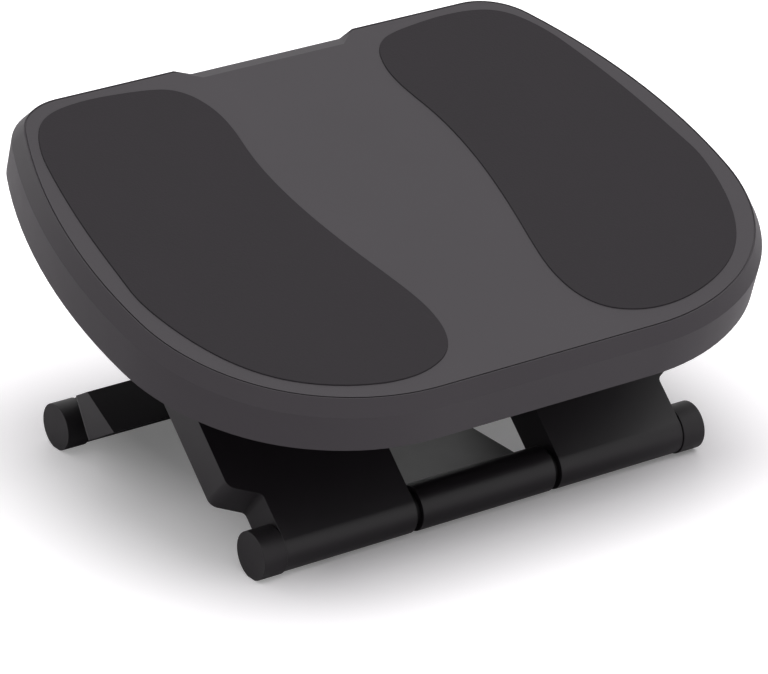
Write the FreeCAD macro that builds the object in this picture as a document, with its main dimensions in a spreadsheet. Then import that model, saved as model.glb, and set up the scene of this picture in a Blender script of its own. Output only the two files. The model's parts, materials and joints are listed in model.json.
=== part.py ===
"""Tilting under desk footrest: a moulded deck on two crossed legs that swing on two floor bars.

Frame: X across, Y from the user to the back, Z up, millimetres. The floor is Z = 0 and the
origin is the middle of the footprint. The deck is shown at the steep end of its tilt.
"""
import FreeCAD, Part
import math
import os

import Sketcher
from FreeCAD import Placement, Rotation, Vector

os.makedirs("parts", exist_ok=True)
doc = FreeCAD.newDocument("tilting_footrest")

# Driving dimensions, in millimetres and degrees.
SIZES = [
    ("tilt", "17.8", "slope of the deck at rest, back edge high"),
    ("bar_spacing", "224.5", "front floor bar to rear floor bar"),
    ("bar_height", "15", "floor to the axis of a floor bar"),
    ("leg_length", "240", "floor bar axis to top pivot axis"),
    ("pivot_spacing", "164.6", "top pivot to top pivot along the deck"),
    ("pivot_drop", "27.3", "deck top face down to the top pivots"),
    ("pivot_setback", "86.4", "deck front edge to the nearer top pivot"),
    ("cap_radius", "15.4", "rubber end cap, before its floor flat"),
    ("cap_length", "16.5", "end cap along the bar"),
    ("cap_floor", "4", "closed end of a cap, past the bar"),
    ("axle_radius", "5", "steel floor bar"),
    ("sleeve_radius", "14.6", "leg sleeve and half thickness of the leg panel"),
    ("sleeve_length", "95", "one sleeve along the bar"),
    ("bush_wall", "2", "wall of the bush in a sleeve"),
    ("play", "0.3", "gap between pieces that move past each other"),
    ("running", "0.05", "radial clearance of a pin that turns in its hole"),
    ("knuckle_half", "50", "half width of the base link"),
    ("ring_radius", "11", "spacer ring beside the base link"),
    ("ring_width", "4.2", "spacer ring along the bar"),
    ("sleeve_inner", "=knuckle_half + ring_width + play", "middle of the bar to the inner end of a sleeve"),
    ("sleeve_outer", "=sleeve_inner + sleeve_length", "middle of the bar to the outer end of a sleeve"),
    ("link_thickness", "10", "base link plate"),
    ("link_wall", "3", "walls and ribs of the base link"),
    ("link_cells", "4", "hollows along the base link"),
    ("arm_outer", "169.5", "middle to the outer side of a leg"),
    ("arm_middle", "109", "middle to the lane between two crossing arms"),
    ("lane", "3", "half of the gap between two crossing arms"),
    ("flare_start", "30.5", "bar axis to the start of the flare"),
    ("flare_end", "41", "bar axis to the end of the flare"),
    ("flare_round", "8", "rounding of the flare's corner"),
    ("notch_depth", "52", "bar axis to the bottom web of the panel"),
    ("cut_outer", "60", "bar axis to the slanted end, at the outer skin"),
    ("cut_inner", "79", "bar axis to the slanted end, at the open side"),
    ("leg_skin", "3", "outer skin of a leg"),
    ("leg_wall", "2.8", "side walls and ribs of a leg"),
    ("arm_cells", "3", "hollows along one arm of a leg"),
    ("rod_radius", "4", "top pivot rod"),
    ("open_play", "3", "radial play of the rear leg's top pivot"),
    ("cheek", "4", "cheek of a pivot bracket"),
    ("washer", "1.2", "friction washer between arm and cheek"),
    ("washer_radius", "9", "friction washer, outer radius"),
    ("bracket_plate", "2.5", "mounting plate of a pivot bracket"),
    ("bracket_half", "23", "half length of the mounting plate along the deck"),
    ("cheek_tip", "7.4", "rounded end of a cheek round the rod"),
    ("screw_reach", "17", "pivot to a bracket screw along the deck"),
    ("screw_radius", "1.75", "bracket screw shank"),
    ("screw_depth", "4.2", "screw below the seat face"),
    ("head_radius", "3.7", "bracket screw head, to its corners"),
    ("head_height", "2", "bracket screw head"),
    ("head_side_count", "6", "flats round a bracket screw head"),
    ("nut_radius", "7", "push nut on a pivot rod"),
    ("nut_length", "2.2", "push nut on a pivot rod"),
    ("rod_tail", "1.5", "pivot rod past its push nut"),
    ("front_half", "79.8", "half of the straight front edge"),
    ("front_sweep_radius", "156.2", "first arc of the deck's corner"),
    ("front_sweep_angle", "29.9", "degrees"),
    ("corner_radius", "124.6", "second arc of the deck's corner"),
    ("corner_angle", "54.5", "degrees"),
    ("side_radius", "370.3", "bowed side of the deck"),
    ("side_angle", "29.2", "degrees"),
    ("rear_radius", "39.6", "rear corner of the deck"),
    ("notch_half", "56", "half width of the rear notch at its bottom"),
    ("notch_cut", "5.3", "depth of the rear notch"),
    ("notch_slant", "11.8", "run of a slanted side of the notch"),
    ("rim_flare", "6.3", "how far the rim stands out past the top face"),
    ("rim_bevel", "10", "height of the sloping upper band of the rim"),
    ("rim_depth", "34.8", "whole depth of the rim"),
    ("rim_wall", "3", "wall of the rim"),
    ("deck_skin", "3.2", "thickness of the deck plate"),
    ("rib_depth", "7", "deck top face down to the foot of the ribs"),
    ("rib_width", "2.4", "ribs under the deck"),
    ("rib_pitch", "54", "spacing of the ribs under the deck"),
    ("pad_recess", "1.2", "grip pad's pocket in the deck"),
    ("pad_thickness", "2", "grip pad"),
    ("groove_inset", "0.4", "edge of the top face to the groove round it"),
    ("groove_width", "0.9", "groove round the top face"),
    ("groove_depth", "0.8", "groove round the top face"),
    ("lip_half", "53.3", "half width of the sloping lip at the rear notch, at its front edge"),
    ("lip_reach", "12.4", "rear edge of the top face to the lip's front edge"),
    ("lip_fall", "0.279", "fall of the lip for each millimetre back"),
    ("lip_lean", "2.7", "how far the lip's slanted ends come in for each millimetre down"),
    ("lip_floor", "5", "top face down to the lowest level of the cut for the lip"),
]
sheet = doc.addObject("Spreadsheet::Sheet", "Sizes")
for row, (alias, value, meaning) in enumerate(SIZES, start=1):
    sheet.set(f"A{row}", meaning)
    sheet.set(f"B{row}", value)
    sheet.setAlias(f"B{row}", alias)
doc.recompute()
S = {alias: float(sheet.get(alias)) for alias, _, _ in SIZES}

ACROSS = Vector(1, 0, 0)
UP = Vector(0, 0, 1)
MARGIN = 2.0
LEAST_CUT = 0.01
ARC_FIT = 0.12


# The crossed linkage.
def leg_slopes(tilt_degrees):
    """Slopes of the front and the rear leg, in degrees, at a tilt of the deck."""
    turn = math.radians(tilt_degrees)
    along = S["bar_spacing"] + S["pivot_spacing"] * math.cos(turn)
    lean = math.atan2(S["pivot_spacing"] * math.sin(turn), along)
    mean = math.acos(along / (2 * S["leg_length"] * math.cos(lean)))
    return math.degrees(mean + lean), math.degrees(mean - lean)


FRONT_SLOPE, REAR_SLOPE = leg_slopes(S["tilt"])
DECK_RUN = math.cos(math.radians(S["tilt"]))
DECK_RISE = math.sin(math.radians(S["tilt"]))


# The deck's outline: x across, y from the front edge to the back, in the deck's own plane.
def corner_arcs():
    """The four tangent arcs of the right-hand corner as (centre, radius, start, end) in radians."""
    turns = [S["front_sweep_angle"], S["corner_angle"], S["side_angle"]]
    turns.append(180 - sum(turns))
    radii = [S["front_sweep_radius"], S["corner_radius"], S["side_radius"], S["rear_radius"]]
    point = Vector(S["front_half"], 0, 0)
    heading = 0.0
    arcs = []
    for radius, turn in zip(radii, turns):
        centre = point + Vector(-math.sin(heading), math.cos(heading), 0) * radius
        last = heading + math.radians(turn)
        arcs.append((centre, radius, heading, last))
        point = centre + Vector(math.sin(last), -math.cos(last), 0) * radius
        heading = last
    return arcs


ARCS = corner_arcs()


def on_arc(arc, angle, grow=0.0):
    """The point of a corner arc at an angle, with the outline moved outwards by grow."""
    centre, radius, _, _ = arc
    return centre + Vector(math.sin(angle), -math.cos(angle), 0) * (radius + grow)


DECK_DEPTH = on_arc(ARCS[-1], ARCS[-1][3]).y
DECK_HALF = max(on_arc(arc, math.pi / 2).x for arc in ARCS if arc[2] <= math.pi / 2 <= arc[3])


def mirrored(point):
    """The point on the other side of the middle plane."""
    return Vector(-point.x, point.y, point.z)


def deck_outline(grow):
    """Closed outline of the deck as lines and arcs, moved outwards by grow."""
    right = []
    for arc in ARCS:
        _, _, start, end = arc
        right.append([on_arc(arc, a, grow) for a in (start, (start + end) / 2, end)])
    slip = grow * (math.hypot(S["notch_cut"], S["notch_slant"]) - S["notch_slant"]) / S["notch_cut"]
    rear = DECK_DEPTH + grow
    outer = Vector(S["notch_half"] + S["notch_slant"] - slip, rear, 0)
    inner = Vector(S["notch_half"] - slip, rear - S["notch_cut"], 0)
    front = right[0][0]
    edges = [Part.LineSegment(mirrored(front), front)]
    edges += [Part.Arc(*points) for points in right]
    run = [right[-1][-1], outer, inner, mirrored(inner), mirrored(outer), mirrored(right[-1][-1])]
    edges += [Part.LineSegment(a, b) for a, b in zip(run, run[1:])]
    edges += [Part.Arc(*[mirrored(p) for p in reversed(points)]) for points in reversed(right)]
    return edges


def reach_across(y):
    """Half width of the deck's outline at a distance from the front edge."""
    for centre, radius, start, end in ARCS:
        if centre.y - radius * math.cos(start) <= y <= centre.y - radius * math.cos(end):
            return centre.x + math.sqrt(radius ** 2 - (y - centre.y) ** 2)
    return S["front_half"]


def reach_along(x):
    """Front and rear ends of the deck's outline at a distance from the middle."""
    x = abs(x)
    front, rear = 0.0, DECK_DEPTH
    if x < S["notch_half"] + S["notch_slant"]:
        rear = DECK_DEPTH - S["notch_cut"]
    for centre, radius, start, end in ARCS:
        low, high = sorted(centre.x + radius * math.sin(a) for a in (start, end))
        if low <= x <= high:
            bow = math.sqrt(radius ** 2 - (x - centre.x) ** 2)
            if (start + end) / 2 < math.pi / 2:
                front = centre.y - bow
            else:
                rear = centre.y + bow
    return front, rear


# Places in the frame.
def deck_corner():
    """Front edge of the deck's top face, from the front floor bar's axis above the floor."""
    slope = math.radians(REAR_SLOPE)
    pivot_y = S["bar_spacing"] - S["leg_length"] * math.cos(slope)
    pivot_z = S["bar_height"] + S["leg_length"] * math.sin(slope)
    y = pivot_y - S["pivot_setback"] * DECK_RUN - S["pivot_drop"] * DECK_RISE
    z = pivot_z - S["pivot_setback"] * DECK_RISE + S["pivot_drop"] * DECK_RUN
    return y, z


def footprint_middle():
    """Middle of the whole object along Y, from the front floor bar's axis."""
    y, _ = deck_corner()
    foremost = y - S["rim_flare"] * DECK_RUN + S["rim_bevel"] * DECK_RISE
    hindmost = y + (DECK_DEPTH + S["rim_flare"]) * DECK_RUN + S["rim_depth"] * DECK_RISE
    low = min(foremost, y, -S["cap_radius"])
    high = max(hindmost, S["bar_spacing"] + S["cap_radius"])
    return (low + high) / 2


ORIGIN_Y = footprint_middle()
FRONT_BAR = Vector(0, -ORIGIN_Y, S["bar_height"])
REAR_BAR = Vector(0, S["bar_spacing"] - ORIGIN_Y, S["bar_height"])
HALF_TURN = Rotation(UP, 180)
DECK_PLACE = Placement(Vector(0, deck_corner()[0] - ORIGIN_Y, deck_corner()[1]), Rotation(ACROSS, S["tilt"]))
FRONT_LEG_PLACE = Placement(FRONT_BAR, Rotation(ACROSS, FRONT_SLOPE))
REAR_LEG_PLACE = Placement(REAR_BAR, HALF_TURN * Rotation(ACROSS, REAR_SLOPE))
NEAR_PIVOT = Vector(0, S["pivot_setback"], -S["pivot_drop"])
FAR_PIVOT = Vector(0, S["pivot_setback"] + S["pivot_spacing"], -S["pivot_drop"])
NEAR_PIVOT_PLACE = DECK_PLACE * Placement(NEAR_PIVOT, HALF_TURN)
FAR_PIVOT_PLACE = DECK_PLACE * Placement(FAR_PIVOT, Rotation())

# Each leg has a wide arm on one side and a narrow arm on the other: (low x, high x).
WIDE_ARM = (-S["arm_outer"], -S["arm_middle"] - S["lane"])
NARROW_ARM = (S["sleeve_inner"], S["arm_middle"] - S["lane"])


# Modelling helpers.
nodes = []


def node(thing, label, place=None):
    """Names a finished piece and puts it in its place."""
    thing.Label = label
    if place is not None:
        thing.Placement = place
    nodes.append(thing)
    return thing


def new_body(name):
    """An empty body for one moulded piece."""
    return doc.addObject("PartDesign::Body", name + "_body")


def sketch_on(body, plane, name, edges, offset="0"):
    """A sketch on one of the body's own origin planes, moved along its normal by an expression."""
    sketch = body.newObject("Sketcher::SketchObject", name)
    face = next(f for f in body.Origin.OriginFeatures if f.Role == plane)
    sketch.AttachmentSupport = [(face, "")]
    sketch.MapMode = "FlatFace"
    sketch.setExpression("AttachmentOffset.Base.z", offset)
    sketch.addGeometry(edges, False)
    return sketch


def circle_sketch(body, plane, name, circles, offset="0"):
    """A sketch of circles given as (x, y, radius expression)."""
    sketch = sketch_on(body, plane, name, [], offset)
    for x, y, radius in circles:
        index = sketch.addGeometry(Part.Circle(Vector(x, y, 0), UP, 1.0), False)
        rule = sketch.addConstraint(Sketcher.Constraint("Radius", index, 1.0))
        sketch.setExpression(f"Constraints[{rule}]", radius)
    return sketch


def extrude(body, kind, name, sketch, length, symmetric=False, backwards=False):
    """A pad or a pocket of a sketch, with its length bound to the sheet."""
    before = body.Tip.Shape.Volume if body.Tip else 0.0
    feature = body.newObject("PartDesign::" + kind, name)
    feature.Profile = sketch
    feature.setExpression("Length", length)
    feature.SideType = "Symmetric" if symmetric else "One side"
    feature.Reversed = backwards
    doc.recompute()
    after = feature.Shape.Volume
    if kind == "Pocket" and after > before - LEAST_CUT:
        raise RuntimeError(f"{body.Name}: {name} cuts nothing")
    return feature


def pad(body, name, sketch, length, symmetric=False, backwards=False):
    """Adds material to a body over a sketch."""
    return extrude(body, "Pad", name, sketch, length, symmetric, backwards)


def pocket(body, name, sketch, length, symmetric=False, backwards=False):
    """Takes material off a body over a sketch."""
    return extrude(body, "Pocket", name, sketch, length, symmetric, backwards)


def rounded(corners):
    """Closed outline through corners given as (x, y, corner radius)."""
    count = len(corners)
    places = [Vector(x, y, 0) for x, y, _ in corners]
    ends = []
    arcs = []
    for i, (_, _, radius) in enumerate(corners):
        here = places[i]
        back = (places[i - 1] - here).normalize()
        ahead = (places[(i + 1) % count] - here).normalize()
        if radius == 0:
            ends.append((here, here))
            arcs.append(None)
            continue
        half = back.getAngle(ahead) / 2
        cut = radius / math.tan(half)
        middle = (back + ahead).normalize()
        knee = here + middle * (radius / math.sin(half) - radius)
        ends.append((here + back * cut, here + ahead * cut))
        arcs.append(knee)
    edges = []
    for i in range(count):
        start, finish = ends[i]
        if arcs[i] is not None:
            edges.append(Part.Arc(start, arcs[i], finish))
        edges.append(Part.LineSegment(finish, ends[(i + 1) % count][0]))
    return edges


def rectangle(x0, x1, y0, y1):
    """Closed outline of a rectangle."""
    return rounded([(x0, y0, 0), (x1, y0, 0), (x1, y1, 0), (x0, y1, 0)])


def cylinder_along_x(name, x, radius, length):
    """A round bar along X from x, with its radius and length bound to the sheet."""
    bar = doc.addObject("Part::Cylinder", name)
    bar.setExpression("Radius", radius)
    bar.setExpression("Height", length)
    bar.Placement = Placement(Vector(x, 0, 0), Rotation(Vector(0, 1, 0), 90))
    return bar


def tube_along_x(name, x, outer, inner, length):
    """A round tube along X from x."""
    tube = doc.addObject("Part::Cut", name)
    tube.Base = cylinder_along_x(name + "_outside", x, outer, length)
    tube.Tool = cylinder_along_x(name + "_bore", x, inner, length)
    return tube


def group(label, members, place):
    """Alike pieces that share one node, each a solid of its own."""
    together = doc.addObject("Part::Compound", label)
    together.Links = members
    return node(together, label, place)


# The deck and its pads.
def cut_inside(body, name, grow, low, height):
    """Hollows the deck out within its outline, upwards from a level."""
    sketch = sketch_on(body, "XY_Plane", name + "_outline", deck_outline(grow), low)
    pocket(body, name, sketch, height, backwards=True)


def bracket_seats():
    """Footprints of the pivot brackets on the deck, as (low x, high x, low y, high y)."""
    seats = []
    flange = S["play"] + S["washer"] + S["cheek"]
    for arm, side, pivot in pivot_arms():
        low, high = sorted(side * x for x in (arm[0] - flange, arm[1] + flange))
        seats.append((low, high, pivot.y - S["bracket_half"], pivot.y + S["bracket_half"]))
    return seats


def pivot_arms():
    """Each arm's x range in its leg, the side sign of that leg and its pivot on the deck."""
    arms = (WIDE_ARM, NARROW_ARM)
    return [(arm, 1, FAR_PIVOT) for arm in arms] + [(arm, -1, NEAR_PIVOT) for arm in arms]


def screw_places():
    """Bracket screws on the deck, as (x, y)."""
    places = []
    for arm, side, pivot in pivot_arms():
        middle = side * (arm[0] + arm[1]) / 2
        places += [(middle, pivot.y - S["screw_reach"]), (middle, pivot.y + S["screw_reach"])]
    return places


def ribs_along():
    """Ribs under the deck that run from front to back, as rectangles."""
    half = S["rib_width"] / 2
    edges = []
    count = int(DECK_HALF / S["rib_pitch"])
    for i in range(-count, count + 1):
        x = i * S["rib_pitch"]
        front, rear = reach_along(x)
        edges += rectangle(x - half, x + half, front + MARGIN, rear - MARGIN)
    return edges


def ribs_across():
    """Ribs under the deck that run from side to side, as rectangles."""
    half = S["rib_width"] / 2
    edges = []
    count = int(DECK_DEPTH / S["rib_pitch"])
    for i in range(1, count + 1):
        y = i * DECK_DEPTH / (count + 1)
        reach = reach_across(y) - MARGIN
        edges += rectangle(-reach, reach, y - half, y + half)
    return edges


# A grip pad's edge, as fractions of the deck's half width and of its depth.
PAD_SHAPE = [
    (0.943, 0.446), (0.924, 0.619), (0.890, 0.778), (0.847, 0.885), (0.780, 0.948),
    (0.635, 0.974), (0.466, 0.966), (0.356, 0.943), (0.292, 0.856), (0.305, 0.720),
    (0.309, 0.605), (0.284, 0.460), (0.237, 0.307), (0.212, 0.180), (0.254, 0.091),
    (0.356, 0.050), (0.466, 0.045), (0.614, 0.070), (0.763, 0.131), (0.869, 0.229), (0.924, 0.336),
]


def pad_outline(side):
    """Smooth closed outline of a grip pad, as tangent arcs."""
    points = [Vector(side * a * DECK_HALF, b * DECK_DEPTH, 0) for a, b in PAD_SHAPE]
    curve = Part.BSplineCurve()
    curve.interpolate(points, PeriodicFlag=True)
    return curve.toBiArcs(ARC_FIT)


def lip_section(level):
    """Outline of the cut above the sloping lip, at a level from the deck's top face."""
    front = -S["lip_reach"] - level / S["lip_fall"]
    back = S["rim_flare"] + MARGIN
    spread = (S["notch_half"] + S["notch_slant"] - S["lip_half"]) / S["lip_reach"]
    corners = []
    for y in (front, back):
        half = S["lip_half"] + spread * (y + S["lip_reach"]) + S["lip_lean"] * level
        corners.append((half, DECK_DEPTH + y, 0))
    mirror = [(-half, y, 0) for half, y, _ in reversed(corners)]
    return rounded(corners + mirror)


def cut_top_details(body):
    """The groove round the top face, the lip at the rear notch and the pads' recesses."""
    outside = deck_outline(-S["groove_inset"])
    inside = deck_outline(-S["groove_inset"] - S["groove_width"])
    groove = sketch_on(body, "XY_Plane", "groove_outline", outside + inside)
    pocket(body, "groove", groove, "Sizes.groove_depth")
    above = sketch_on(body, "XY_Plane", "lip_above", lip_section(MARGIN), str(MARGIN))
    below = sketch_on(body, "XY_Plane", "lip_below", lip_section(-S["lip_floor"]), "-Sizes.lip_floor")
    lip = body.newObject("PartDesign::SubtractiveLoft", "notch_lip")
    lip.Profile = above
    lip.Sections = [below]
    lip.Ruled = True
    doc.recompute()
    for side, name in ((-1, "left_recess"), (1, "right_recess")):
        recess = sketch_on(body, "XY_Plane", name + "_outline", pad_outline(side))
        pocket(body, name, recess, "Sizes.pad_recess")


def make_deck_shell():
    """The moulded deck: a ribbed plate with a two-band rim, open underneath."""
    body = new_body("deck_shell")
    face = sketch_on(body, "XY_Plane", "top_face", deck_outline(0))
    foot = sketch_on(body, "XY_Plane", "bevel_foot", deck_outline(S["rim_flare"]), "-Sizes.rim_bevel")
    bevel = body.newObject("PartDesign::AdditiveLoft", "bevelled_top")
    bevel.Profile = face
    bevel.Sections = [foot]
    bevel.Ruled = True
    doc.recompute()
    band = sketch_on(body, "XY_Plane", "rim_band", deck_outline(S["rim_flare"]), "-Sizes.rim_bevel")
    pad(body, "lower_band", band, "Sizes.rim_depth - Sizes.rim_bevel", backwards=True)
    inside = S["rim_flare"] - S["rim_wall"]
    cut_inside(body, "rim_hollow", inside, "-Sizes.rim_depth",
                       "Sizes.rim_depth - Sizes.rim_bevel - Sizes.deck_skin / 2")
    cut_inside(body, "top_hollow", -S["rim_wall"], "-Sizes.rim_depth",
                       "Sizes.rim_depth - Sizes.deck_skin")
    for name, strips in (("ribs_along", ribs_along()), ("ribs_across", ribs_across())):
        sketch = sketch_on(body, "XY_Plane", name + "_outline", strips, "-Sizes.rib_depth")
        pad(body, name, sketch, "Sizes.rib_depth - Sizes.deck_skin / 2")
    for i, seat in enumerate(bracket_seats()):
        sketch = sketch_on(body, "XY_Plane", f"seat_{i}_outline", rectangle(*seat), "-Sizes.rib_depth")
        pad(body, f"seat_{i}", sketch, "Sizes.rib_depth - Sizes.deck_skin / 2")
    holes = [(x, y, "Sizes.screw_radius") for x, y in screw_places()]
    drill = circle_sketch(body, "XY_Plane", "screw_holes_outline", holes, "-Sizes.rib_depth")
    pocket(body, "screw_holes", drill, "Sizes.screw_depth", backwards=True)
    cut_top_details(body)
    node(body, "deck_shell", DECK_PLACE)


def make_grip_pad(label, side):
    """A rubber sheet set into the deck's recess."""
    body = new_body(label)
    sketch = sketch_on(body, "XY_Plane", "outline", pad_outline(side), "-Sizes.pad_recess")
    pad(body, "sheet", sketch, "Sizes.pad_thickness")
    node(body, label, DECK_PLACE)


# The pivot brackets, rods and their small parts.
def make_bracket(label, arm, side, pivot):
    """A clevis under the deck: a mounting plate with a cheek on each side of the arm."""
    body = new_body(label)
    seat_z = S["pivot_drop"] - S["rib_depth"]
    plate_z = seat_z - S["bracket_plate"]
    inner = arm[1] - arm[0] + 2 * (S["play"] + S["washer"])
    wide = inner + 2 * S["cheek"]
    tip = S["cheek_tip"]
    shoulder = S["bracket_half"] - S["cheek"]
    side_view = rounded([(-shoulder, plate_z + S["bracket_plate"] / 2, 0), (-tip - MARGIN, -tip, tip),
                         (tip + MARGIN, -tip, tip), (shoulder, plate_z + S["bracket_plate"] / 2, 0)])
    cheeks = sketch_on(body, "YZ_Plane", "cheek_outline", side_view)
    pad(body, "cheeks", cheeks, str(wide), symmetric=True)
    gap = sketch_on(body, "YZ_Plane", "gap_outline",
                    rectangle(-S["bracket_half"], S["bracket_half"], -S["pivot_drop"], seat_z))
    pocket(body, "arm_gap", gap, str(inner), symmetric=True)
    plate = sketch_on(body, "XY_Plane", "plate_outline",
                      rectangle(-wide / 2, wide / 2, -S["bracket_half"], S["bracket_half"]),
                      "Sizes.pivot_drop - Sizes.rib_depth")
    pad(body, "plate", plate, "Sizes.bracket_plate", backwards=True)
    bore = circle_sketch(body, "YZ_Plane", "rod_bore_outline", [(0, 0, "Sizes.rod_radius")])
    pocket(body, "rod_bore", bore, str(wide + MARGIN), symmetric=True)
    reach = S["screw_reach"]
    holes = circle_sketch(body, "XY_Plane", "screw_holes_outline",
                          [(0, -reach, "Sizes.screw_radius"), (0, reach, "Sizes.screw_radius")],
                          "Sizes.pivot_drop - Sizes.rib_depth")
    pocket(body, "screw_holes", holes, "Sizes.bracket_plate")
    middle = Vector(side * (arm[0] + arm[1]) / 2, 0, 0)
    node(body, label, DECK_PLACE * Placement(pivot + middle, Rotation()))


def make_bracket_screws():
    """Two hexagon head screws up through each bracket into the deck."""
    members = []
    under = -S["rib_depth"] - S["bracket_plate"]
    for i, (x, y) in enumerate(screw_places()):
        shank = doc.addObject("Part::Cylinder", f"shank_{i}")
        shank.setExpression("Radius", "Sizes.screw_radius")
        shank.setExpression("Height", "Sizes.bracket_plate + Sizes.screw_depth")
        shank.Placement = Placement(Vector(x, y, under), Rotation())
        head = doc.addObject("Part::Prism", f"head_{i}")
        head.Polygon = int(S["head_side_count"])
        head.setExpression("Circumradius", "Sizes.head_radius")
        head.setExpression("Height", "Sizes.head_height")
        head.Placement = Placement(Vector(x, y, under - S["head_height"]), Rotation())
        screw = doc.addObject("Part::Fuse", f"screw_{i}")
        screw.Base = shank
        screw.Tool = head
        members.append(screw)
    group("bracket_screws", members, DECK_PLACE)


def rod_ends():
    """Low and high x of a top pivot rod, in the frame of its leg."""
    past = S["play"] + S["washer"] + S["cheek"] + S["nut_length"] + S["rod_tail"]
    return WIDE_ARM[0] - past, NARROW_ARM[1] + past


def make_pivot_hardware(name, place):
    """The rod through one leg's arms, with its push nuts and friction washers."""
    low, high = rod_ends()
    rod = cylinder_along_x(name + "_rod_bar", low, "Sizes.rod_radius", str(high - low))
    carried = doc.addObject("Part::Compound", name + "_pivot_rod")
    carried.Links = [rod]
    node(carried, name + "_pivot_rod", place)
    tail = S["rod_tail"]
    nuts = [tube_along_x(f"{name}_nut_{i}", x, "Sizes.nut_radius", "Sizes.rod_radius", "Sizes.nut_length")
            for i, x in enumerate((low + tail, high - tail - S["nut_length"]))]
    group(name + "_rod_push_nuts", nuts, place)
    gap = S["play"]
    spots = []
    for arm in (WIDE_ARM, NARROW_ARM):
        spots += [arm[0] - gap - S["washer"], arm[1] + gap]
    washers = [
        tube_along_x(f"{name}_washer_{i}", x, "Sizes.washer_radius", "Sizes.rod_radius", "Sizes.washer")
        for i, x in enumerate(spots)]
    group(name + "_friction_washers", washers, place)


# The legs.
def leg_outline():
    """Plan of a leg from its bar to its arms, without the rounded ends: (x, distance from the bar)."""
    foot = -S["sleeve_radius"] - MARGIN
    top = S["leg_length"] + S["sleeve_radius"] + MARGIN
    inner, outer, side = S["sleeve_inner"], S["sleeve_outer"], S["arm_outer"]
    knee = S["flare_round"] / 2
    web = S["cut_inner"]
    return rounded([
        (-outer, foot, 0), (-inner, foot, 0),
        (-inner, S["notch_depth"], knee), (inner, S["notch_depth"], knee), (inner, foot, 0),
        (outer, foot, 0), (outer, S["flare_start"], knee), (side, S["flare_end"], S["flare_round"]),
        (side, web, 0), (NARROW_ARM[1], web, 0), (NARROW_ARM[1], top, 0), (NARROW_ARM[0], top, 0),
        (NARROW_ARM[0], web, 0), (WIDE_ARM[1], web, 0), (WIDE_ARM[1], top, 0), (WIDE_ARM[0], top, 0),
        (-side, S["flare_end"], S["flare_round"]), (-outer, S["flare_start"], knee),
    ])


def leg_cells():
    """Hollows between the ribs on the leg's open side, as (low x, high x, low y, high y)."""
    wall = S["leg_wall"]
    low_start = S["sleeve_radius"] + wall
    low_end = S["flare_end"]
    high_start = low_end + wall
    stub_end = S["cut_outer"] - wall
    arm_end = S["leg_length"] - S["sleeve_radius"] - wall
    cells = []
    panel_low, panel_high = S["sleeve_inner"] + wall, S["sleeve_outer"] - wall
    cells += [(-panel_high, -panel_low, low_start, low_end), (panel_low, panel_high, low_start, low_end)]
    for arm in (WIDE_ARM, NARROW_ARM):
        count = int(S["arm_cells"])
        pitch = (arm_end - high_start + wall) / count
        for i in range(count):
            start = high_start + i * pitch
            cells.append((arm[0] + wall, arm[1] - wall, start, start + pitch - wall))
    cells.append((WIDE_ARM[1], -S["sleeve_inner"] - wall, high_start, stub_end))
    cells.append((NARROW_ARM[1], S["arm_outer"] - wall, high_start, stub_end))
    return cells


def slanted_wedge():
    """Side view of what is cut off above the slanted end of the panel: (distance from the bar, depth)."""
    half = S["sleeve_radius"]
    lean = (S["cut_inner"] - S["cut_outer"]) / (2 * half) * MARGIN
    beyond = S["cut_inner"] + lean + MARGIN
    return rounded([(S["cut_outer"] - lean, half + MARGIN, 0), (S["cut_inner"] + lean, -half - MARGIN, 0),
                    (beyond, -half - MARGIN, 0), (beyond, half + MARGIN, 0)])


def make_leg(label, top_bore, place):
    """A moulded leg: two sleeves, a flared panel and two arms, hollow and ribbed on one side."""
    body = new_body(label)
    half, length, side = S["sleeve_radius"], S["leg_length"], S["arm_outer"]
    stadium = [Part.LineSegment(Vector(0, -half, 0), Vector(length, -half, 0)),
               Part.Arc(Vector(length, -half, 0), Vector(length + half, 0, 0), Vector(length, half, 0)),
               Part.LineSegment(Vector(length, half, 0), Vector(0, half, 0)),
               Part.Arc(Vector(0, half, 0), Vector(-half, 0, 0), Vector(0, -half, 0))]
    pad(body, "slab", sketch_on(body, "YZ_Plane", "side_view", stadium),
        f"2 * Sizes.arm_outer + {2 * MARGIN}", symmetric=True)
    over = 3 * MARGIN
    border = rectangle(-side - over, side + over, -half - over, length + half + over)
    pocket(body, "plan", sketch_on(body, "XY_Plane", "plan_view", border + leg_outline()),
           "4 * Sizes.sleeve_radius", symmetric=True)
    for name, low, high in (("middle_slant", WIDE_ARM[1], NARROW_ARM[0]),
                            ("side_slant", NARROW_ARM[1], side + MARGIN)):
        wedge = sketch_on(body, "YZ_Plane", name + "_view", slanted_wedge(), str(low))
        pocket(body, name, wedge, str(high - low), backwards=True)
    cells = []
    for cell in leg_cells():
        cells += rectangle(*cell)
    hollows = sketch_on(body, "XY_Plane", "hollow_outlines", cells, "-Sizes.sleeve_radius")
    pocket(body, "hollows", hollows, "2 * Sizes.sleeve_radius - Sizes.leg_skin", backwards=True)
    sleeve_bore = "Sizes.axle_radius + Sizes.running + Sizes.bush_wall"
    bores = circle_sketch(body, "YZ_Plane", "bore_view", [(0, 0, sleeve_bore), (length, 0, top_bore)])
    pocket(body, "bores", bores, f"2 * Sizes.arm_outer + {2 * MARGIN}", symmetric=True)
    node(body, label, place)


def make_leg_bushes(label, place):
    """A plastic bush through each sleeve."""
    members = [tube_along_x(f"{label}_{i}", x, "Sizes.axle_radius + Sizes.running + Sizes.bush_wall",
                            "Sizes.axle_radius + Sizes.running", "Sizes.sleeve_length")
               for i, x in enumerate((S["sleeve_inner"], -S["sleeve_outer"]))]
    group(label, members, place)


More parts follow.
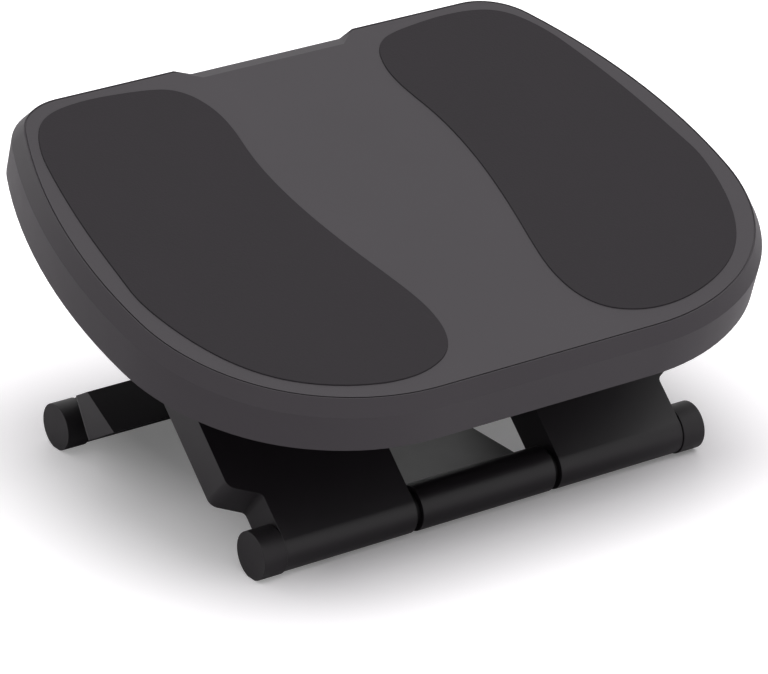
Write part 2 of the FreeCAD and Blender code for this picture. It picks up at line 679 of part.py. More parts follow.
# The base.
def make_base_link():
    """Flat link between the floor bars, with a knuckle round each."""
    body = new_body("base_link")
    spacing, half = S["bar_spacing"], S["sleeve_radius"]
    wall, width = S["link_wall"], S["knuckle_half"]
    knuckles = circle_sketch(body, "YZ_Plane", "knuckle_view",
                             [(0, 0, "Sizes.sleeve_radius"), (spacing, 0, "Sizes.sleeve_radius")])
    pad_two = sketch_on(body, "YZ_Plane", "plate_view", rectangle(0, spacing, -S["link_thickness"], 0))
    pad(body, "plate", pad_two, "2 * Sizes.knuckle_half", symmetric=True)
    pad(body, "knuckles", knuckles, "2 * Sizes.knuckle_half", symmetric=True)
    cells = []
    count = int(S["link_cells"])
    start = half + wall
    pitch = (spacing - 2 * start + wall) / count
    for i in range(count):
        for low, high in ((-width + wall, -wall / 2), (wall / 2, width - wall)):
            cells += rectangle(low, high, start + i * pitch, start + (i + 1) * pitch - wall)
    hollows = sketch_on(body, "XY_Plane", "hollow_outlines", cells, "-Sizes.link_thickness")
    pocket(body, "hollows", hollows, "Sizes.link_thickness - Sizes.link_wall", backwards=True)
    bores = circle_sketch(body, "YZ_Plane", "bore_view",
                          [(0, 0, "Sizes.axle_radius"), (spacing, 0, "Sizes.axle_radius")])
    pocket(body, "bores", bores, "2 * Sizes.knuckle_half", symmetric=True)
    node(body, "base_link", Placement(FRONT_BAR, Rotation()))


def cap_start():
    """Middle of a floor bar to the inner end of its caps."""
    return S["sleeve_outer"] + S["play"]


def make_floor_axle(label, place):
    """Steel bar that a leg and the base link turn on."""
    end = cap_start() + S["cap_length"] - S["cap_floor"]
    axle = cylinder_along_x(label + "_bar", -end, "Sizes.axle_radius", str(2 * end))
    carried = doc.addObject("Part::Compound", label)
    carried.Links = [axle]
    node(carried, label, place)


def make_end_cap(label, place):
    """Rubber cap on the end of a floor bar, flattened where it stands on the floor."""
    body = new_body(label)
    start = cap_start()
    round_view = circle_sketch(body, "YZ_Plane", "round_view", [(0, 0, "Sizes.cap_radius")], str(start))
    pad(body, "plug", round_view, "Sizes.cap_length")
    socket = circle_sketch(body, "YZ_Plane", "socket_view", [(0, 0, "Sizes.axle_radius")], str(start))
    pocket(body, "socket", socket, "Sizes.cap_length - Sizes.cap_floor", backwards=True)
    radius = S["cap_radius"]
    flat = sketch_on(body, "YZ_Plane", "floor_view",
                     rectangle(-radius, radius, -radius - MARGIN, -S["bar_height"]), str(start))
    pocket(body, "floor_flat", flat, "Sizes.cap_length", backwards=True)
    node(body, label, place)


def make_spacer_rings(label, place):
    """Rings on a floor bar between the base link and the sleeves."""
    width = "Sizes.ring_width"
    spots = [S["knuckle_half"], -S["sleeve_inner"] + S["play"]]
    members = [tube_along_x(f"{label}_{i}", x, "Sizes.ring_radius", "Sizes.axle_radius", width)
               for i, x in enumerate(spots)]
    group(label, members, place)


make_deck_shell()
make_grip_pad("left_grip_pad", -1)
make_grip_pad("right_grip_pad", 1)
BRACKETS = ("rear_left_bracket", "rear_right_bracket", "front_right_bracket", "front_left_bracket")
for bracket, (bracket_arm, bracket_side, bracket_pivot) in zip(BRACKETS, pivot_arms()):
    make_bracket(bracket, bracket_arm, bracket_side, bracket_pivot)
make_bracket_screws()
make_pivot_hardware("front_leg", FAR_PIVOT_PLACE)
make_pivot_hardware("rear_leg", NEAR_PIVOT_PLACE)
make_leg("front_leg", "Sizes.rod_radius + Sizes.running", FRONT_LEG_PLACE)
make_leg("rear_leg", "Sizes.rod_radius + Sizes.open_play", REAR_LEG_PLACE)
make_leg_bushes("front_leg_bushes", FRONT_LEG_PLACE)
make_leg_bushes("rear_leg_bushes", REAR_LEG_PLACE)
make_base_link()
for end_name, bar in (("front", FRONT_BAR), ("rear", REAR_BAR)):
    upright = Placement(bar, Rotation())
    make_floor_axle(end_name + "_floor_axle", upright)
    make_end_cap(end_name + "_right_end_cap", upright)
    make_end_cap(end_name + "_left_end_cap", Placement(bar, HALF_TURN))
    make_spacer_rings(end_name + "_spacer_rings", upright)

doc.recompute()
for thing in doc.Objects:
    faults = {"Invalid", "Error"} & set(thing.State)
    if faults:
        raise RuntimeError(f"{thing.Name} is {faults}")
for thing in nodes:
    if thing.Shape.isNull() or not thing.Shape.isValid() or not thing.Shape.Solids:
        raise RuntimeError(f"{thing.Label} has no valid shape")
for thing in nodes:
    thing.Shape.exportStep(f"parts/{thing.Label}.step")
    print(f"{thing.Label}: {len(thing.Shape.Solids)} solids, {thing.Shape.Volume:.0f} cubic mm")
print(f"front leg slope {FRONT_SLOPE:.3f}, rear leg slope {REAR_SLOPE:.3f}, front bar at Y {FRONT_BAR.y:.3f}")
print(f"deck half width {DECK_HALF:.2f}, depth {DECK_DEPTH:.2f}, corner at {DECK_PLACE.Base}")
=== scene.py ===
"""Looks of a tilting under desk footrest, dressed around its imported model.

A moulded deck with two rubber grip pads stands on two crossed legs, which swing on two
rubber-capped floor bars. Lengths are in metres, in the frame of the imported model.
"""
from __future__ import annotations

import json
import logging
import math
from dataclasses import dataclass
from enum import Enum
from typing import Callable

import bpy
from mathutils import Matrix, Vector


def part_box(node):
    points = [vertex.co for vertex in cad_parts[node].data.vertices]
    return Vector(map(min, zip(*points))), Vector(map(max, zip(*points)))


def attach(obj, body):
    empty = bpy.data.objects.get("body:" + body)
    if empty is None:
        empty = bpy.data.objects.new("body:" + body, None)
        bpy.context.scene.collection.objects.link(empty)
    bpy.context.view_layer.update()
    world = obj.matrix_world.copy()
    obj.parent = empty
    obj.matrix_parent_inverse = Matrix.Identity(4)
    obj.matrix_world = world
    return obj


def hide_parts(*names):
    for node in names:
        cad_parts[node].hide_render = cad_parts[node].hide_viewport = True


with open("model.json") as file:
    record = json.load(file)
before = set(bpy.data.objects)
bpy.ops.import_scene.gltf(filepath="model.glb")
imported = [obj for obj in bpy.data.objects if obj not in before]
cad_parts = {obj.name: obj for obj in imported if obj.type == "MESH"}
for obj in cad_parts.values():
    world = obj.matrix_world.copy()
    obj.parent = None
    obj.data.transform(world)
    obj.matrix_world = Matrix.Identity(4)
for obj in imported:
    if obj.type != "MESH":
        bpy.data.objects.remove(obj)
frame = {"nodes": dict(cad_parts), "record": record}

LOG = logging.getLogger("footrest")
MM = 0.001
# A face looks along an axis when its normal has more than this share of it.
FACING = 0.9
# Octaves of a noise pattern.
FINE_OCTAVES = 2.0
SOFT_OCTAVES = 3.0
RAGGED_OCTAVES = 5.0
Colour = tuple[float, float, float]
Place = tuple[float, float, float]
Socket = bpy.types.NodeSocket


class Side(Enum):
    """The two ends of a bar or rod that lies along X."""

    LEFT = -1
    RIGHT = 1


class NodeWeb:
    """A node material being built, one small step at a time."""

    dark_end = 0.3
    light_end = 0.7
    cell_softness = 0.6

    def __init__(self, name: str) -> None:
        """Start an empty material with its shader and output.

        Args:
            name: Name of the material.
        """
        self.material = bpy.data.materials.new(name)
        self.material.use_nodes = True
        self.tree = self.material.node_tree
        self.tree.nodes.clear()
        self.output = self.tree.nodes.new("ShaderNodeOutputMaterial")
        self.shader = self.tree.nodes.new("ShaderNodeBsdfPrincipled")
        self.link(self.shader.outputs["BSDF"], self.output.inputs["Surface"])

    def link(self, source: Socket, target: Socket) -> None:
        """Join one socket to another."""
        self.tree.links.new(source, target)

    def object_place(self, stretch: Place = (1.0, 1.0, 1.0)) -> Socket:
        """Object coordinates.

        Args:
            stretch: Scale of the pattern's place along X, Y and Z.

        Returns:
            The vector socket to read patterns at.
        """
        coordinates = self.tree.nodes.new("ShaderNodeTexCoord")
        mapping = self.tree.nodes.new("ShaderNodeMapping")
        mapping.inputs["Scale"].default_value = stretch
        self.link(coordinates.outputs["Object"], mapping.inputs["Vector"])
        return mapping.outputs["Vector"]

    def noise(self, place: Socket, size: float, detail: float) -> Socket:
        """Noise at a place.

        Args:
            place: Vector socket.
            size: Width of one blot in metres.
            detail: Octaves.

        Returns:
            The factor socket.
        """
        node = self.tree.nodes.new("ShaderNodeTexNoise")
        node.inputs["Scale"].default_value = 1 / size
        node.inputs["Detail"].default_value = detail
        self.link(place, node.inputs["Vector"])
        return node.outputs["Fac"]

    def pebbles(self, place: Socket, size: float) -> Socket:
        """Rounded cells at a place, high in their middles.

        Args:
            place: Vector socket.
            size: Width of one cell in metres.

        Returns:
            The height socket.
        """
        node = self.tree.nodes.new("ShaderNodeTexVoronoi")
        node.feature = "SMOOTH_F1"
        node.inputs["Scale"].default_value = 1 / size
        node.inputs["Smoothness"].default_value = self.cell_softness
        self.link(place, node.inputs["Vector"])
        return self.span(node.outputs["Distance"], 1.0, 0.0)

    def span(self, value: Socket, low: float, high: float) -> Socket:
        """Map a factor to a range.

        Args:
            value: Factor socket.
            low: Result at 0.
            high: Result at 1.

        Returns:
            The mapped socket.
        """
        node = self.tree.nodes.new("ShaderNodeMapRange")
        node.inputs["To Min"].default_value = low
        node.inputs["To Max"].default_value = high
        self.link(value, node.inputs["Value"])
        return node.outputs["Result"]

    def two_tones(self, value: Socket, colour: Colour, change: float) -> Socket:
        """Vary a colour with a factor.

        Args:
            value: Factor socket.
            colour: Middle tone.
            change: Share by which it gets darker and lighter.

        Returns:
            The colour socket.
        """
        node = self.tree.nodes.new("ShaderNodeValToRGB")
        ends = ((self.dark_end, 1 - change), (self.light_end, 1 + change))
        for element, (position, tone) in zip(node.color_ramp.elements, ends):
            element.position = position
            element.color = (*(min(1.0, c * tone) for c in colour), 1.0)
        self.link(value, node.inputs["Fac"])
        return node.outputs["Color"]

    def bump(self, height: Socket, distance: float, strength: float) -> None:
        """Raise the surface by a height, over any bump laid before.

        Args:
            height: Factor socket.
            distance: Metres from 0 to 1 of the height.
            strength: How much of it shows.
        """
        node = self.tree.nodes.new("ShaderNodeBump")
        node.inputs["Distance"].default_value = distance
        node.inputs["Strength"].default_value = strength
        self.link(height, node.inputs["Height"])
        normal = self.shader.inputs["Normal"]
        if normal.is_linked:
            self.link(normal.links[0].from_socket, node.inputs["Normal"])
        self.link(node.outputs["Normal"], normal)


@dataclass(frozen=True)
class MouldedPlastic:
    """A dark moulded plastic with a fine spark-eroded grain and soft changes of tone."""

    name: str
    colour: Colour
    roughness: float
    gloss: float = 0.2
    grain: float = 0.5 * MM
    grain_depth: float = 0.02 * MM
    grain_strength: float = 0.35
    cloud_size: float = 110 * MM
    tone_change: float = 0.03
    scuff_size: float = 14 * MM
    polish: float = 0.03
    scuffing: float = 0.05

    def material(self) -> bpy.types.Material:
        """Build the material.

        Returns:
            A material on Object coordinates, with its grain in bump and roughness.
        """
        web = NodeWeb(self.name)
        place = web.object_place()
        cloud = web.noise(place, self.cloud_size, SOFT_OCTAVES)
        web.link(web.two_tones(cloud, self.colour, self.tone_change), web.shader.inputs["Base Color"])
        scuff = web.noise(place, self.scuff_size, RAGGED_OCTAVES)
        rough = web.span(scuff, self.roughness - self.polish, self.roughness + self.scuffing)
        web.link(rough, web.shader.inputs["Roughness"])
        web.shader.inputs["Specular IOR Level"].default_value = self.gloss
        web.bump(web.noise(place, self.grain, FINE_OCTAVES), self.grain_depth, self.grain_strength)
        return web.material


@dataclass(frozen=True)
class GripRubber:
    """Matt rubber sheet with a fine pebbled grip."""

    name: str
    colour: Colour
    pebble: float = 1.5 * MM
    depth: float = 0.14 * MM
    pebble_strength: float = 0.6
    skin_share: float = 0.25
    skin_strength: float = 0.3
    wear_size: float = 45 * MM
    tone_change: float = 0.07
    worn_roughness: float = 0.72
    fresh_roughness: float = 0.9
    gloss: float = 0.15

    def material(self) -> bpy.types.Material:
        """Build the material.

        Returns:
            A material whose pebbles are cells on Object coordinates.
        """
        web = NodeWeb(self.name)
        place = web.object_place()
        worn = web.noise(place, self.wear_size, RAGGED_OCTAVES)
        web.link(web.two_tones(worn, self.colour, self.tone_change), web.shader.inputs["Base Color"])
        web.link(web.span(worn, self.worn_roughness, self.fresh_roughness), web.shader.inputs["Roughness"])
        web.shader.inputs["Specular IOR Level"].default_value = self.gloss
        skin = web.noise(place, self.pebble * self.skin_share, FINE_OCTAVES)
        web.bump(skin, self.depth * self.skin_share, self.skin_strength)
        web.bump(web.pebbles(place, self.pebble), self.depth, self.pebble_strength)
        return web.material


@dataclass(frozen=True)
class CapRubber:
    """Black rubber of the floor caps, with a faint bloom."""

    name: str
    colour: Colour
    roughness: float = 0.5
    gloss: float = 0.35
    bloom_size: float = 9 * MM
    bloom_change: float = 0.16
    polish: float = 0.06
    bloom_roughness: float = 0.12
    skin: float = 0.4 * MM
    skin_depth: float = 0.02 * MM
    skin_strength: float = 0.3

    def material(self) -> bpy.types.Material:
        """Build the material.

        Returns:
            A material with a soft bloom and a fine skin.
        """
        web = NodeWeb(self.name)
        place = web.object_place()
        bloom = web.noise(place, self.bloom_size, RAGGED_OCTAVES)
        web.link(web.two_tones(bloom, self.colour, self.bloom_change), web.shader.inputs["Base Color"])
        rough = web.span(bloom, self.roughness - self.polish, self.roughness + self.bloom_roughness)
        web.link(rough, web.shader.inputs["Roughness"])
        web.shader.inputs["Specular IOR Level"].default_value = self.gloss
        web.bump(web.noise(place, self.skin, FINE_OCTAVES), self.skin_depth, self.skin_strength)
        return web.material


@dataclass(frozen=True)
class PlainSteel:
    """Drawn or zinc-plated steel, with fine lines along X where it is drawn."""

    name: str
    colour: Colour
    roughness: float
    stretch: float
    line_width: float = 0.4 * MM
    line_depth: float = 0.006 * MM
    line_strength: float = 0.4
    tone_change: float = 0.07
    polish: float = 0.08
    dullness: float = 0.1

    def material(self) -> bpy.types.Material:
        """Build the material.

        Returns:
            A metal whose lines run along the bar.
        """
        web = NodeWeb(self.name)
        place = web.object_place((self.stretch, 1.0, 1.0))
        lines = web.noise(place, self.line_width, SOFT_OCTAVES)
        web.link(web.two_tones(lines, self.colour, self.tone_change), web.shader.inputs["Base Color"])
        rough = web.span(lines, self.roughness - self.polish, self.roughness + self.dullness)
        web.link(rough, web.shader.inputs["Roughness"])
        web.shader.inputs["Metallic"].default_value = 1.0
        web.bump(lines, self.line_depth, self.line_strength)
        return web.material


FINISHES = (
    MouldedPlastic("deck_plastic", (0.0565, 0.0508, 0.0568), roughness=0.42),
    MouldedPlastic("leg_plastic", (0.0105, 0.0084, 0.0105), roughness=0.38, gloss=0.36),
    MouldedPlastic("bracket_plastic", (0.012, 0.0105, 0.012), roughness=0.45),
    MouldedPlastic("bush_plastic", (0.008, 0.007, 0.008), roughness=0.4),
    GripRubber("pad_rubber", (0.0320, 0.0286, 0.0322)),
    CapRubber("cap_rubber", (0.013, 0.011, 0.013)),
    PlainSteel("rod_steel", (0.52, 0.52, 0.53), roughness=0.3, stretch=0.04),
    PlainSteel("zinc_steel", (0.62, 0.62, 0.6), roughness=0.38, stretch=1.0),
)


class Bench:
    """Modelling steps that act on one object at a time."""

    merge_distance = 0.002 * MM
    flat_angle = math.radians(0.05)

    @staticmethod
    def take(*pieces: bpy.types.Object) -> None:
        """Select these objects alone, the first one active.

        Args:
            pieces: Objects to select.
        """
        if bpy.context.object and bpy.context.object.mode != "OBJECT":
            bpy.ops.object.mode_set(mode="OBJECT")
        bpy.ops.object.select_all(action="DESELECT")
        for piece in pieces:
            piece.select_set(True)
        bpy.context.view_layer.objects.active = pieces[0]

    @classmethod
    def copy_of(cls, node: str) -> bpy.types.Object:
        """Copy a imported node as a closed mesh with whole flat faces.

        Args:
            node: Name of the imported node.

        Returns:
            The copy, merged, without the inner edges of its flat faces.
        """
        piece = bpy.data.objects.new(node + "_finished", frame["nodes"][node].data.copy())
        bpy.context.scene.collection.objects.link(piece)
        cls.take(piece)
        bpy.ops.object.mode_set(mode="EDIT")
        bpy.ops.mesh.select_all(action="SELECT")
        bpy.ops.mesh.remove_doubles(threshold=cls.merge_distance)
        bpy.ops.mesh.dissolve_limited(angle_limit=cls.flat_angle)
        bpy.ops.object.mode_set(mode="OBJECT")
        return piece

    @classmethod
    def select_faces(cls, piece: bpy.types.Object, wanted: Callable[[bpy.types.MeshPolygon], bool]) -> None:
        """Enter edit mode with only some faces selected.

        Args:
            piece: The piece.
            wanted: Test that a face passes to be selected.
        """
        cls.take(piece)
        bpy.ops.object.mode_set(mode="EDIT")
        bpy.ops.mesh.select_mode(type="FACE")
        bpy.ops.mesh.select_all(action="DESELECT")
        bpy.ops.object.mode_set(mode="OBJECT")
        for face in piece.data.polygons:
            face.select = wanted(face)
        bpy.ops.object.mode_set(mode="EDIT")

    @classmethod
    def round_edges(cls, piece: bpy.types.Object, width: float, steps: int = 2, angle: float = 28.0) -> None:
        """Round every sharp edge of a piece, as its mould does.

        Args:
            piece: The piece.
            width: Size of the rounding.
            steps: Strips across it.
            angle: Edges bent by more than this many degrees are rounded.
        """
        cls.take(piece)
        modifier = piece.modifiers.new("edge_rounding", "BEVEL")
        modifier.width = width
        modifier.segments = steps
        modifier.limit_method = "ANGLE"
        modifier.angle_limit = math.radians(angle)
        modifier.use_clamp_overlap = True
        bpy.ops.object.modifier_apply(modifier=modifier.name)
        cls.smooth(piece)

    @classmethod
    def smooth(cls, piece: bpy.types.Object, angle: float = 32.0) -> None:
        """Shade a piece smooth, its wide faces flat beside their rounded edges.

        Args:
            piece: The piece.
            angle: Edges bent by more than this many degrees stay sharp.
        """
        cls.take(piece)
        bpy.ops.object.shade_smooth_by_angle(angle=math.radians(angle))
        modifier = piece.modifiers.new("flat_faces", "WEIGHTED_NORMAL")
        modifier.keep_sharp = True
        bpy.ops.object.modifier_apply(modifier=modifier.name)

    @classmethod
    def cut(cls, piece: bpy.types.Object, tool: bpy.types.Object) -> None:
        """Cut a tool's shape out of a piece and throw the tool away.

        Args:
            piece: The piece that keeps its name.
            tool: The object whose shape is taken out.
        """
        cls.take(piece)
        modifier = piece.modifiers.new("cut", "BOOLEAN")
        modifier.operation = "DIFFERENCE"
        modifier.solver = "EXACT"
        modifier.object = tool
        bpy.ops.object.modifier_apply(modifier=modifier.name)
        bpy.data.objects.remove(tool, do_unlink=True)

    @classmethod
    def settle(cls, piece: bpy.types.Object) -> None:
        """Put the piece's place into its mesh."""
        cls.take(piece)
        bpy.ops.object.transform_apply(location=True, rotation=True, scale=True)

    @classmethod
    def join(cls, pieces: list[bpy.types.Object], name: str) -> bpy.types.Object:
        """Join pieces into one object.

        Args:
            pieces: Pieces whose places are in their meshes.
            name: Name of the joined piece.

        Returns:
            The joined piece.
        """
        cls.take(*pieces)
        bpy.ops.object.join()
        pieces[0].name = name
        return pieces[0]


@dataclass
class SubAssembly:
    """Pieces of the footrest that are finished together."""

    materials: dict[str, bpy.types.Material]

    def dress(self, piece: bpy.types.Object, node: str) -> None:
        """Give a piece its node's finish all over."""
        piece.data.materials.clear()
        piece.data.materials.append(self.materials[self.slot_of(node)])

    def slot_of(self, node: str) -> str:
        """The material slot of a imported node."""
        return next(row["material_slot"] for row in frame["record"]["subparts"] if row["node"] == node)

    def body_of(self, node: str) -> str:
        """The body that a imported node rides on."""
        bodies = frame["record"]["behaviour"]["bodies"]
        return next(body for body, nodes in bodies.items() if node in nodes)

    def seat(self, piece: bpy.types.Object, node: str) -> None:
        """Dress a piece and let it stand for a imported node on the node's own body.

        Args:
            piece: The finished piece, in its place.
            node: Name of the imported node.
        """
        self.dress(piece, node)
        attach(piece, self.body_of(node))
        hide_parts(node)
        LOG.info("%s: %d faces on %s", piece.name, len(piece.data.polygons), self.body_of(node))

    def soften(self, node: str, width: float, steps: int = 2) -> None:
        """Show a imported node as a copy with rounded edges.

        Args:
            node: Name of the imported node.
            width: Size of the rounding.
            steps: Strips across it.
        """
        piece = Bench.copy_of(node)
        Bench.round_edges(piece, width, steps)
        self.seat(piece, node)

    def keep(self, node: str) -> None:
        """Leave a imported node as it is, with its finish."""
        self.dress(frame["nodes"][node], node)
        LOG.info("%s: packed shape", node)


@dataclass
class Deck(SubAssembly):
    """The moulded deck and the two rubber pads set into it."""

    shell_edge: float = 0.3 * MM
    pad_edge: float = 0.55 * MM
    pad_steps: int = 3

    def build(self) -> None:
        """Finish the deck and its pads."""
        self.soften("deck_shell", self.shell_edge)
        for pad in ("left_grip_pad", "right_grip_pad"):
            self.soften(pad, self.pad_edge, self.pad_steps)


@dataclass
class PivotHardware(SubAssembly):
    """Brackets, screws, rods, push nuts and washers under the deck."""

    bracket_edge: float = 0.4 * MM
    screw_edge: float = 0.25 * MM
    rod_edge: float = 0.5 * MM
    washer_edge: float = 0.15 * MM
    washer_steps: int = 1
    nut_radius: float = 7.0 * MM
    nut_length: float = 2.2 * MM
    nut_dome: float = 0.9 * MM
    dome_steps: int = 3
    nut_sides: int = 48
    rod_radius: float = 4.0 * MM
    slot_width: float = 0.7 * MM
    slot_reach: float = 5.7 * MM
    slot_pairs: int = 3
    cutter_lengths: float = 4.0

    def build(self) -> None:
        """Finish every piece of the pivots."""
        for end in ("rear_left", "rear_right", "front_left", "front_right"):
            self.soften(end + "_bracket", self.bracket_edge)
        self.soften("bracket_screws", self.screw_edge)
        for leg in ("front_leg", "rear_leg"):
            self.soften(leg + "_pivot_rod", self.rod_edge)
            self.soften(leg + "_friction_washers", self.washer_edge, self.washer_steps)
            self.push_nuts(leg + "_rod_push_nuts")

    def push_nuts(self, node: str) -> None:
        """Model the two push nuts of a rod, a domed disc with slots that make its teeth.

        Args:
            node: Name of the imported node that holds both.
        """
        low, high = (Vector(corner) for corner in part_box(node))
        middle = (low + high) / 2
        reach = (high.x - low.x - self.nut_length) / 2
        nuts = []
        for side in Side:
            nut = self.one_nut()
            nut.rotation_euler = (0.0, side.value * math.pi / 2, 0.0)
            nut.location = middle + Vector((side.value * reach, 0.0, 0.0))
            Bench.settle(nut)
            nuts.append(nut)
        piece = Bench.join(nuts, node + "_finished")
        Bench.smooth(piece)
        self.seat(piece, node)

    def one_nut(self) -> bpy.types.Object:
        """Model one push nut, its dome towards +Z.

        Returns:
            The nut, about the origin.
        """
        bpy.ops.object.select_all(action="DESELECT")
        bpy.ops.mesh.primitive_cylinder_add(
            vertices=self.nut_sides, radius=self.nut_radius, depth=self.nut_length)
        nut = bpy.context.object
        Bench.select_faces(nut, lambda face: face.normal.z > FACING)
        bpy.ops.mesh.bevel(offset=self.nut_dome, segments=self.dome_steps, affect="EDGES")
        bpy.ops.object.mode_set(mode="OBJECT")
        deep = self.cutter_lengths * self.nut_length
        bpy.ops.mesh.primitive_cylinder_add(vertices=self.nut_sides, radius=self.rod_radius, depth=deep)
        Bench.cut(nut, bpy.context.object)
        for i in range(self.slot_pairs):
            size = (2 * self.slot_reach, self.slot_width, deep)
            turn = (0.0, 0.0, i * math.pi / self.slot_pairs)
            bpy.ops.mesh.primitive_cube_add(size=1.0, rotation=turn, scale=size)
            Bench.cut(nut, bpy.context.object)
        return nut


@dataclass
class Legs(SubAssembly):
    """The two crossed legs, one moulding used twice, with the bushes in their sleeves."""

    leg_edge: float = 0.4 * MM

    def build(self) -> None:
        """Finish both legs."""
        for leg in ("front_leg", "rear_leg"):
            self.soften(leg, self.leg_edge)
            self.keep(leg + "_bushes")


@dataclass
class FloorFrame(SubAssembly):
    """The base link, the two floor bars, their rubber caps and the spacer rings."""

    link_edge: float = 0.4 * MM
    cap_edge: float = 0.45 * MM
    cap_steps: int = 3
    cap_angle: float = 35.0
    end_tolerance: float = 0.1 * MM
    cap_margin: float = 1.6 * MM
    cap_dish: float = 0.25 * MM
    ring_edge: float = 0.25 * MM

    def build(self) -> None:
        """Finish every piece that stays on the floor."""
        self.soften("base_link", self.link_edge)
        for end in ("front", "rear"):
            self.keep(end + "_floor_axle")
            self.soften(end + "_spacer_rings", self.ring_edge)
            self.cap(end + "_left_end_cap", Side.LEFT)
            self.cap(end + "_right_end_cap", Side.RIGHT)

    def cap(self, node: str, side: Side) -> None:
        """Model a cap with a shallow dish in its end face.

        Args:
            node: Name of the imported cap.
            side: The end of the bar that it closes.
        """
        low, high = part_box(node)
        end = high[0] if side is Side.RIGHT else low[0]
        piece = Bench.copy_of(node)

        def is_end(face: bpy.types.MeshPolygon) -> bool:
            """Tell whether a face lies in the cap's flat end."""
            outward = face.normal.x * side.value > FACING
            return outward and abs(face.center.x - end) < self.end_tolerance

        Bench.select_faces(piece, is_end)
        bpy.ops.mesh.inset(thickness=self.cap_margin, depth=-self.cap_dish)
        bpy.ops.object.mode_set(mode="OBJECT")
        Bench.round_edges(piece, self.cap_edge, self.cap_steps, self.cap_angle)
        self.seat(piece, node)


@dataclass(frozen=True)
class SoftPanel:
    """A square soft lamp."""

    name: str
    place: Place
    size: float
    power: float


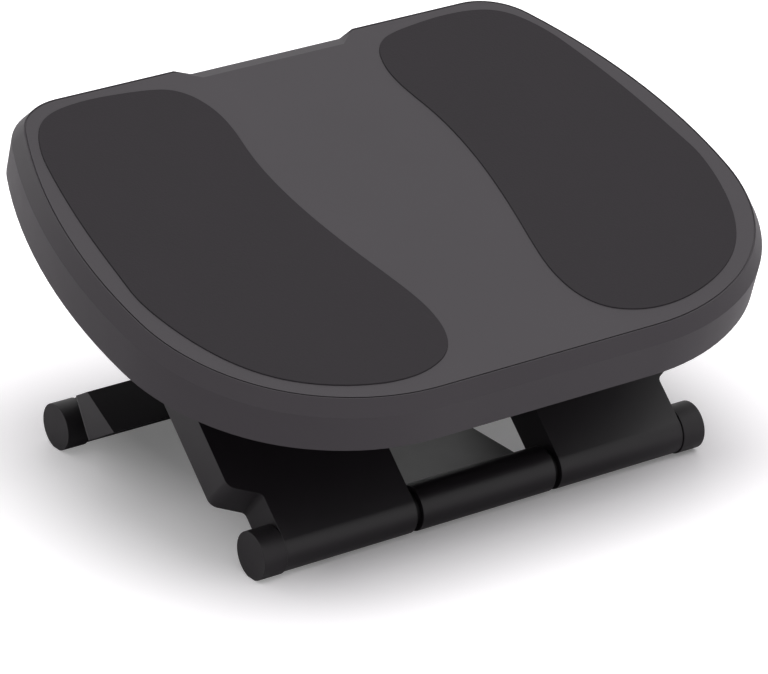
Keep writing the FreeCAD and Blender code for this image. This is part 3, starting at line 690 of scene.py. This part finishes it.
@dataclass
class Studio:
    """Pale floor, soft lights and the camera."""

    panels: tuple[SoftPanel, ...] = (
        SoftPanel("sky_panel", (0.1, -0.6, 2.45), size=2.4, power=49.0),
        SoftPanel("back_panel", (-0.9, 2.3, 0.9), size=1.6, power=4.0),
    )
    target: Place = (0.0, 0.0, 0.1)
    floor_size: float = 14.0
    floor_drop: float = 0.2 * MM
    floor_colour: Colour = (0.93, 0.90, 0.93)
    floor_roughness: float = 0.5
    floor_gloss: float = 0.25
    # Painted shade on the floor: the camera-only glow is weakest over this box and rises to its far level
    # within the reach below, so the floor looks shaded around the object.
    footprint: Place = (0.14, 0.125, 1.0)
    footprint_middle: Place = (0.025, 0.028, 0.0)
    painted_glow_reach: float = 0.22
    near_painted_glow: float = 0.14
    far_painted_glow: float = 0.75
    around: float = 0.3
    camera_place: Place = (-1.598787, -2.29225, 1.310001)
    azimuth: float = 34.73
    elevation: float = 23.66
    lens: float = 229.694
    sensor: float = 36.0
    farthest: float = 50.0

    def build(self) -> None:
        """Build the floor, world, lamps and camera."""
        self.lay_floor()
        self.light_world()
        for panel in self.panels:
            self.hang(panel)
        self.set_camera()

    def lay_floor(self) -> None:
        """A wide pale floor with a painted glow that only the camera sees: weak over the object's footprint,
        so a painted shade lies around the object, and white farther away.
        """
        bpy.ops.object.select_all(action="DESELECT")
        bpy.ops.mesh.primitive_plane_add(size=self.floor_size, location=(0.0, 0.0, -self.floor_drop))
        floor = bpy.context.object
        floor.name = "studio_floor"
        web = NodeWeb("studio_floor")
        web.shader.inputs["Base Color"].default_value = (*self.floor_colour, 1.0)
        web.shader.inputs["Roughness"].default_value = self.floor_roughness
        web.shader.inputs["Specular IOR Level"].default_value = self.floor_gloss
        # Painted light: a camera-only glow that rises with the distance from the footprint, leaving a
        # painted shade near the object.
        rise = web.tree.nodes.new("ShaderNodeMapRange")
        rise.inputs["From Max"].default_value = self.painted_glow_reach
        rise.inputs["To Min"].default_value = self.near_painted_glow
        rise.inputs["To Max"].default_value = self.far_painted_glow
        web.link(self.way_out(web), rise.inputs["Value"])
        path = web.tree.nodes.new("ShaderNodeLightPath")
        seen = web.tree.nodes.new("ShaderNodeMath")
        seen.operation = "MULTIPLY"
        web.link(path.outputs["Is Camera Ray"], seen.inputs[0])
        web.link(rise.outputs["Result"], seen.inputs[1])
        glow = web.tree.nodes.new("ShaderNodeEmission")
        web.link(seen.outputs["Value"], glow.inputs["Strength"])
        both = web.tree.nodes.new("ShaderNodeAddShader")
        web.link(web.shader.outputs["BSDF"], both.inputs[0])
        web.link(glow.outputs["Emission"], both.inputs[1])
        web.link(both.outputs["Shader"], web.output.inputs["Surface"])
        floor.data.materials.append(web.material)

    def way_out(self, web: NodeWeb) -> Socket:
        """Measure how far a point of the floor lies outside the object's footprint.

        Args:
            web: The floor's material.

        Returns:
            The distance socket, 0 under the object.
        """
        place = web.object_place()
        for step, values in (
            ("SUBTRACT", self.footprint_middle),
            ("ABSOLUTE", None),
            ("SUBTRACT", self.footprint),
            ("MAXIMUM", (0.0, 0.0, 0.0)),
            ("LENGTH", None),
        ):
            node = web.tree.nodes.new("ShaderNodeVectorMath")
            node.operation = step
            web.link(place, node.inputs[0])
            if values is not None:
                node.inputs[1].default_value = values
            place = node.outputs["Value" if step == "LENGTH" else "Vector"]
        return place

    def light_world(self) -> None:
        """Even surrounding light, with white where the camera or a reflection looks past the floor."""
        world = bpy.data.worlds.new("studio")
        bpy.context.scene.world = world
        world.use_nodes = True
        tree = world.node_tree
        tree.nodes.clear()
        path = tree.nodes.new("ShaderNodeLightPath")
        seen = tree.nodes.new("ShaderNodeMath")
        seen.operation = "MAXIMUM"
        tree.links.new(path.outputs["Is Camera Ray"], seen.inputs[0])
        tree.links.new(path.outputs["Is Glossy Ray"], seen.inputs[1])
        through = tree.nodes.new("ShaderNodeMath")
        through.operation = "MAXIMUM"
        tree.links.new(seen.outputs["Value"], through.inputs[0])
        tree.links.new(path.outputs["Is Transmission Ray"], through.inputs[1])
        light = tree.nodes.new("ShaderNodeBackground")
        light.inputs["Strength"].default_value = self.around
        white = tree.nodes.new("ShaderNodeBackground")
        for shader in (light, white):
            shader.inputs["Color"].default_value = (1.0, 1.0, 1.0, 1.0)
        mix = tree.nodes.new("ShaderNodeMixShader")
        output = tree.nodes.new("ShaderNodeOutputWorld")
        tree.links.new(through.outputs["Value"], mix.inputs["Fac"])
        tree.links.new(light.outputs["Background"], mix.inputs[1])
        tree.links.new(white.outputs["Background"], mix.inputs[2])
        tree.links.new(mix.outputs["Shader"], output.inputs["Surface"])

    def hang(self, panel: SoftPanel) -> None:
        """Hang a soft lamp that faces the target.

        Args:
            panel: The lamp's place, size and power.
        """
        lamp = bpy.data.lights.new(panel.name, "AREA")
        lamp.shape = "SQUARE"
        lamp.size = panel.size
        lamp.energy = panel.power
        holder = bpy.data.objects.new(panel.name, lamp)
        bpy.context.scene.collection.objects.link(holder)
        holder.location = panel.place
        facing = Vector(self.target) - Vector(panel.place)
        holder.rotation_euler = facing.to_track_quat("-Z", "Y").to_euler()

    def set_camera(self) -> None:
        """Set the camera at the photograph's viewing angle."""
        turn, rise = math.radians(self.azimuth), math.radians(self.elevation)
        ahead = Vector((math.sin(turn) * math.cos(rise), math.cos(turn) * math.cos(rise), -math.sin(rise)))
        right = Vector((math.cos(turn), -math.sin(turn), 0.0))
        up = right.cross(ahead)
        camera = bpy.data.cameras.new("camera")
        camera.lens = self.lens
        camera.sensor_width = self.sensor
        camera.sensor_fit = "HORIZONTAL"
        camera.clip_end = self.farthest
        holder = bpy.data.objects.new("camera", camera)
        bpy.context.scene.collection.objects.link(holder)
        axes = Matrix((right, up, -ahead)).transposed().to_4x4()
        holder.matrix_world = Matrix.Translation(Vector(self.camera_place)) @ axes
        bpy.context.scene.camera = holder


def main() -> None:
    """Build every sub-assembly, then the studio."""
    logging.basicConfig(level=logging.INFO, format="%(name)s: %(message)s")
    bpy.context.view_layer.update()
    bpy.context.scene.view_settings.view_transform = "Standard"
    materials = {finish.name: finish.material() for finish in FINISHES}
    for assembly in (Deck, PivotHardware, Legs, FloorFrame):
        assembly(materials).build()
    Studio().build()


if __name__ == "__main__":
    main()
